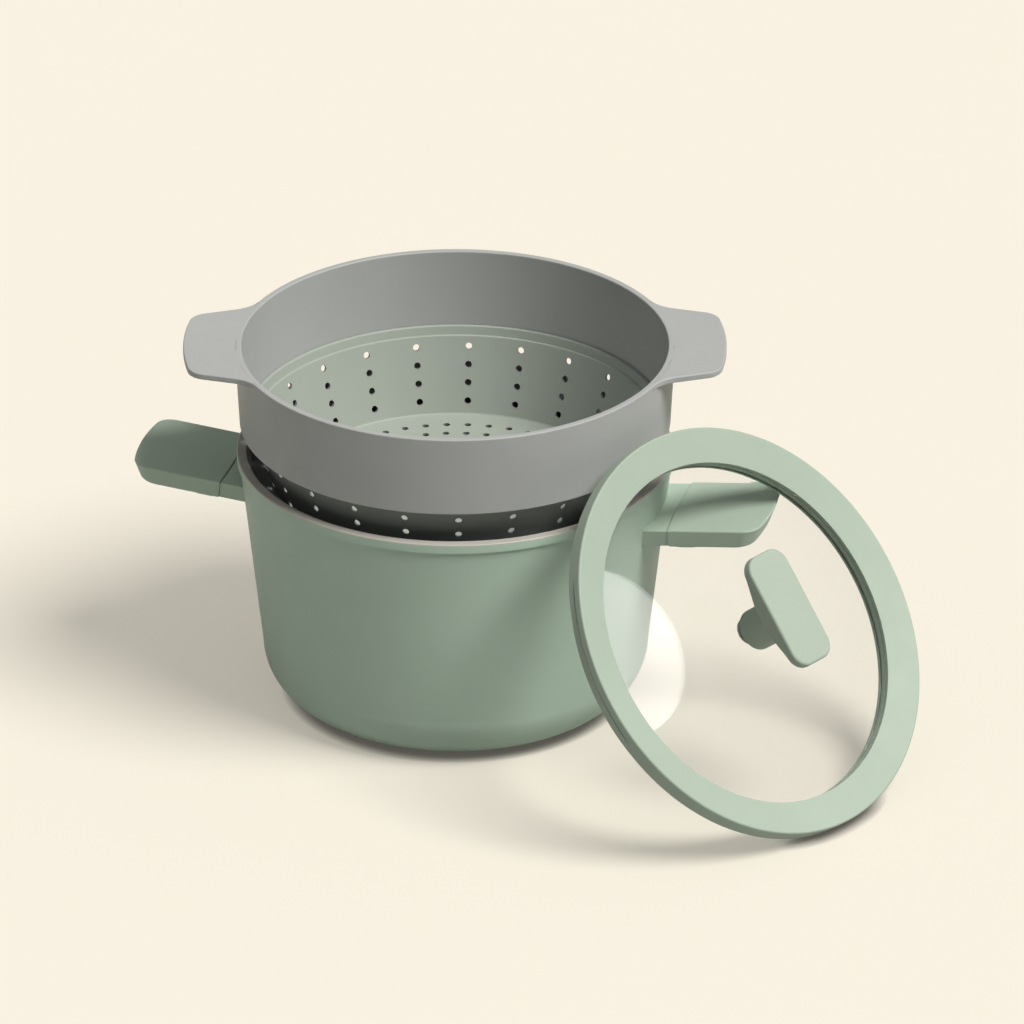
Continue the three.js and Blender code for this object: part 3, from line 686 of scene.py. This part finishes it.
def make_basket():
    under = BASKET_Z - BASKET_T
    corner_z = BASKET_Z + BASKET_CORNER_R
    corner_x = basket_r(corner_z) - BASKET_CORNER_R
    wall_turn = 180 - math.degrees(math.atan(BASKET_TAPER))
    neck_r = OPENING_R - GAP
    neck_z = STEP_Z - BASKET_T
    lip_z = COLLAR_Z + LIP_T
    ring_top = SEAT_RING_Z + SEAT_RING_H
    outside = [
        (0, under),
        (out_r(BASKET_Z) - BASKET_CORNER_R, under),
        (out_r(BASKET_Z), BASKET_Z),
        (out_r(SEAT_RING_Z), SEAT_RING_Z),
        (seat_r(SEAT_RING_Z), SEAT_RING_Z),
        (seat_r(ring_top), ring_top),
        (out_r(ring_top), ring_top),
        (out_r(neck_z), neck_z),
        (neck_r, STEP_Z),
        (neck_r, lip_z),
        (FLANGE_R, lip_z),
    ]
    inside = [
        *arc(FLANGE_R - FLANGE_EDGE, FLANGE_Z - FLANGE_EDGE, FLANGE_EDGE, 0, 90, EDGE_STEPS),
        *arc(LEDGE_R + EDGE, FLANGE_Z - EDGE, EDGE, 90, LEDGE_TURN, EDGE_STEPS),
        (STEP_R + STEP_W, STEP_Z + STEP_RISE),
        *arc(STEP_R + FINE_EDGE, STEP_Z - FINE_EDGE, FINE_EDGE, 90, wall_turn, EDGE_STEPS),
        *arc(corner_x, corner_z, BASKET_CORNER_R, 0, -90, EDGE_STEPS),
        (0, BASKET_Z),
    ]
    blank = lathe("basket", [outside, inside], finishes=(BASKET_OUT, BASKET_IN))
    basket = boolean(blank, basket_drills(), "DIFFERENCE")
    piece("basket", basket, BASKET_IN, "steamer", ["steamer_basket"])


# Lid, drawn about its own axis with 0 at the top outer edge.
LID_PLACE = (Matrix.Translation(LID_AT) @ Matrix.Rotation(rad(LID_AZ + 90), 4, "Z")
             @ Matrix.Rotation(rad(90 - LID_EL), 4, "X"))


# Hollow in the ring's side that starts and ends flush.
def notch_cut(depth, low, high):
    inner = []
    for i in range(WIDE_STEPS + 1):
        across = 2 * i / WIDE_STEPS - 1
        angle = rad(across * NOTCH_HALF)
        radius = LID_R - depth * (1 - across ** 2)
        inner.append((radius * math.cos(angle), radius * math.sin(angle)))
    outer = arc(0, 0, LID_R + depth, NOTCH_HALF, -NOTCH_HALF, WIDE_STEPS)
    outline = [*reversed(inner), *reversed(outer)]
    tool = loft("notch", [(outline, low), (outline, high)])
    return copies(tool, [Matrix.Rotation(rad(NOTCH_AZ + turn), 4, "Z") for turn in (0, 180)])


def make_ring():
    bottom = -LID_H - PLUG_H
    glass_back = GLASS_TOP - GLASS_T
    groove_r = GLASS_R + GAP
    groove_z = GLASS_TOP + GLASS_PLAY
    joint_r = RING_IN_R + JOINT_D
    joint_top = -RING_DISH - JOINT_DROP
    joint_low = joint_top - JOINT_H
    ring = lathe("ring", [[
        (RING_IN_R, bottom),
        *arc(PLUG_R - EDGE, bottom + EDGE, EDGE, -90, 0, EDGE_STEPS),
        (PLUG_R, -LID_H),
        *arc(LID_R - EDGE, EDGE - LID_H, EDGE, -90, 0, EDGE_STEPS),
        *arc(LID_R - RING_EDGE, -RING_EDGE, RING_EDGE, 0, 90, EDGE_STEPS),
        *arc(RING_IN_R + FINE_EDGE, -RING_DISH - FINE_EDGE, FINE_EDGE, RING_TURN, 180, EDGE_STEPS),
        (RING_IN_R, joint_top),
        (joint_r, joint_top - JOINT_SLOPE),
        (joint_r, joint_low + JOINT_SLOPE),
        (RING_IN_R, joint_low),
        (RING_IN_R, groove_z),
        (groove_r, groove_z),
        (groove_r, glass_back),
        (RING_IN_R, glass_back),
    ]], closed=True)
    notch = notch_cut(NOTCH_DEPTH, -LID_H - EDGE, -NOTCH_TOP)
    slit = notch_cut(NOTCH_SLIT_DEPTH, -NOTCH_TOP - NOTCH_SLIT_H, -NOTCH_TOP)
    ring = boolean(boolean(ring, notch, "DIFFERENCE"), slit, "DIFFERENCE")
    piece("ring", ring, SILICONE, "lid", ["lid_ring"], LID_PLACE)


def dome(radius):
    return DOME_RISE * (1 - (radius / DOME_R) ** 2)


def make_glass():
    spans = [i / PROFILE_STEPS for i in range(PROFILE_STEPS + 1)]
    radii = [LAND_R + (DOME_R - LAND_R) * span for span in spans]
    back = GLASS_TOP - GLASS_T
    glass = lathe("glass", [[
        (SCREW_HOLE_R, back + dome(LAND_R)),
        *[(r, back + dome(r)) for r in radii],
        (GLASS_R - EDGE, back),
        (GLASS_R, back + EDGE),
        (GLASS_R, GLASS_TOP - EDGE),
        (GLASS_R - EDGE, GLASS_TOP),
        *[(r, GLASS_TOP + dome(r)) for r in reversed(radii)],
        (SCREW_HOLE_R, GLASS_TOP + dome(LAND_R)),
    ]], closed=True)
    piece("glass", glass, GLASS, "lid", ["lid_glass"], LID_PLACE)


def knob_section(length, width, radius, shift, z):
    outline = rounded_rectangle(-width / 2, width / 2, length, radius)
    return [(x, y + shift) for x, y in outline], z


def knob_bar(margin, z):
    length, width = KNOB_L - 2 * margin, KNOB_W - 2 * margin
    return knob_section(length, width, KNOB_CORNER_R - margin, KNOB_SHIFT, z)


# A round stem under a bar that runs up the lid's slope and is thicker beside the stem.
def make_knob():
    root_z = KNOB_TOP - KNOB_ROOT_T
    end_z = KNOB_TOP - KNOB_END_T
    turns = quarter_turns()
    stem_d = 2 * STEM_R
    root_w = KNOB_W - 2 * KNOB_UNDER
    sections = [knob_section(stem_d, stem_d, STEM_R, STEM_SHIFT, STEM_Z)]
    for a in turns:
        share = 1 - math.cos(a)
        length = stem_d + (KNOB_ROOT_L - stem_d) * share
        width = stem_d + (root_w - stem_d) * share
        z = root_z - KNOB_FILLET * (1 - math.sin(a))
        shift = STEM_SHIFT + (KNOB_SHIFT - STEM_SHIFT) * share
        sections.append(knob_section(length, width, STEM_R, shift, z))
    for a in turns:
        margin = KNOB_UNDER * (1 - math.sin(a))
        sections.append(knob_bar(margin, end_z + KNOB_EDGE * (1 - math.cos(a))))
    for a in turns:
        margin = KNOB_EDGE * (1 - math.cos(a))
        sections.append(knob_bar(margin, KNOB_TOP - KNOB_EDGE * (1 - math.sin(a))))
    piece("knob", loft("knob", sections), KNOB, "lid", ["lid_knob"], LID_PLACE)


def make_cushion():
    low = STEM_Z - CUSHION_T
    section = [(SCREW_HOLE_R, low), (CUSHION_R, low), (CUSHION_R, STEM_Z), (SCREW_HOLE_R, STEM_Z)]
    disc = lathe("cushion", [section], DISC_ROUND, closed=True)
    piece("cushion", disc, SILICONE, "lid", ["knob_seat"], LID_PLACE)


make_pot()
make_handle("right", HANDLE_AZ)
make_handle("left", HANDLE_AZ + 180)
make_collar()
make_basket()
make_ring()
make_glass()
make_knob()
make_cushion()

# Finishes of the CAD nodes that stay in view
CAD_FINISHES = {
    "base_plate": STEEL,
    "handle_stud_right": ALUMINIUM,
    "handle_stud_left": ALUMINIUM,
    "stud_screw_right": STEEL,
    "stud_screw_left": STEEL,
    "grip_screw_right": STEEL,
    "grip_screw_left": STEEL,
    "knob_washer": SILICONE,
    "knob_screw": STEEL,
}
for node, finish in CAD_FINISHES.items():
    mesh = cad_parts[node].data
    mesh.materials.clear()
    mesh.materials.append(finish)


# Floor, camera and light
# The floor glows a little, which softens the shadow, and has a painted contact shadow: a dark line
# where the part stands.
def floor_material(pale, bounce):
    material, tree, shader, coords = node_material("cream floor")
    seen = any_ray(tree, "Is Camera Ray", "Is Glossy Ray", "Is Transmission Ray")
    # Ambient occlusion darkens the floor's colour and glow near the part: a painted contact shadow.
    contact = tree.nodes.new("ShaderNodeAmbientOcclusion")
    contact.inputs["Distance"].default_value = CONTACT_FAR
    free = ramp(tree, contact.outputs["AO"], CONTACT_SHADE, 1.0, *CONTACT_SPAN)
    shaded = tree.nodes.new("ShaderNodeVectorMath")
    shaded.operation = "SCALE"
    drift = noise(tree, coords, FLOOR_DRIFT)
    tree.links.new(two_tone(tree, drift, pale, FLOOR_SPREAD), shaded.inputs["Vector"])
    tree.links.new(free, shaded.inputs["Scale"])
    mix = tree.nodes.new("ShaderNodeMix")
    mix.data_type = "RGBA"
    mix.inputs[MIX_A].default_value = (*bounce, 1)
    tree.links.new(seen, mix.inputs["Factor"])
    tree.links.new(shaded.outputs["Vector"], mix.inputs[MIX_B])
    tree.links.new(mix.outputs[MIX_RESULT], shader.inputs["Base Color"])
    shader.inputs["Roughness"].default_value = 0.9
    shader.inputs["Specular IOR Level"].default_value = 0.0
    glow = tree.nodes.new("ShaderNodeEmission")
    glow.inputs["Color"].default_value = (*pale, 1)
    tree.links.new(free, glow.inputs["Strength"])
    share = tree.nodes.new("ShaderNodeMath")
    share.operation = "MULTIPLY"
    share.inputs[1].default_value = FLOOR_LIFT
    tree.links.new(seen, share.inputs[0])
    lifted = tree.nodes.new("ShaderNodeMixShader")
    tree.links.new(share.outputs["Value"], lifted.inputs["Fac"])
    tree.links.new(shader.outputs["BSDF"], lifted.inputs[1])
    tree.links.new(glow.outputs["Emission"], lifted.inputs[2])
    tree.links.new(lifted.outputs["Shader"], tree.nodes["Material Output"].inputs["Surface"])
    return material


def make_floor():
    corners = [(-1, -1), (1, -1), (1, 1), (-1, 1)]
    points = [(x * FLOOR_HALF, y * FLOOR_HALF, 0) for x, y in corners]
    floor = bpy.data.objects.new("floor", mesh_from("floor", points, [(0, 1, 2, 3)]))
    floor.data.materials.append(floor_material(FLOOR_COLOUR, FLOOR_BOUNCE))
    bpy.context.scene.collection.objects.link(floor)


def make_camera():
    data = bpy.data.cameras.new("camera")
    data.sensor_width = SENSOR
    data.lens = FOCAL_PX * SENSOR / IMAGE_PX
    data.clip_end = CAMERA_REACH
    camera = bpy.data.objects.new("camera", data)
    camera.location = CAMERA_AT
    camera.rotation_euler = (rad(90 - CAMERA_PITCH), 0, rad(CAMERA_YAW))
    bpy.context.scene.collection.objects.link(camera)
    bpy.context.scene.camera = camera


def heading(azimuth, elevation):
    a, e = rad(azimuth), rad(elevation)
    return Vector((math.cos(a) * math.cos(e), math.sin(a) * math.cos(e), math.sin(e)))


def make_lamp(name, kind, target, towards, power, colour):
    data = bpy.data.lights.new(name, kind)
    data.energy = power
    data.color = colour
    lamp = bpy.data.objects.new(name, data)
    lamp.location = target + towards
    lamp.rotation_euler = (-towards).to_track_quat("-Z", "Y").to_euler()
    bpy.context.scene.collection.objects.link(lamp)
    return lamp


# The softbox only shows as a reflection; the key and the sky light the scene.
def make_lights():
    key = make_lamp("key", "SUN", Vector(), heading(KEY_AZ, KEY_EL), KEY_POWER, KEY_COLOUR)
    key.data.angle = rad(KEY_ANGLE)
    towards = heading(SOFTBOX_AZ, SOFTBOX_EL) * SOFTBOX_FAR
    softbox = make_lamp("softbox", "AREA", LID_AT * MM, towards, SOFTBOX_POWER, SOFTBOX_COLOUR)
    softbox.data.shape = "DISK"
    softbox.data.size = SOFTBOX_D
    softbox.visible_diffuse = False


# Sky that is brightest overhead.
def make_world():
    world = bpy.data.worlds.new("studio")
    world.use_nodes = True
    tree = world.node_tree
    background = tree.nodes["Background"]
    background.inputs["Color"].default_value = (*SKY_COLOUR, 1)
    coords = tree.nodes.new("ShaderNodeTexCoord")
    split = tree.nodes.new("ShaderNodeSeparateXYZ")
    tree.links.new(coords.outputs["Generated"], split.inputs["Vector"])
    strength = ramp(tree, split.outputs["Z"], SKY_HORIZON, SKY_ZENITH, 0.0, 1.0)
    tree.links.new(strength, background.inputs["Strength"])
    bpy.context.scene.world = world


make_floor()
make_camera()
make_lights()
make_world()
bpy.context.scene.view_settings.view_transform = "Standard"
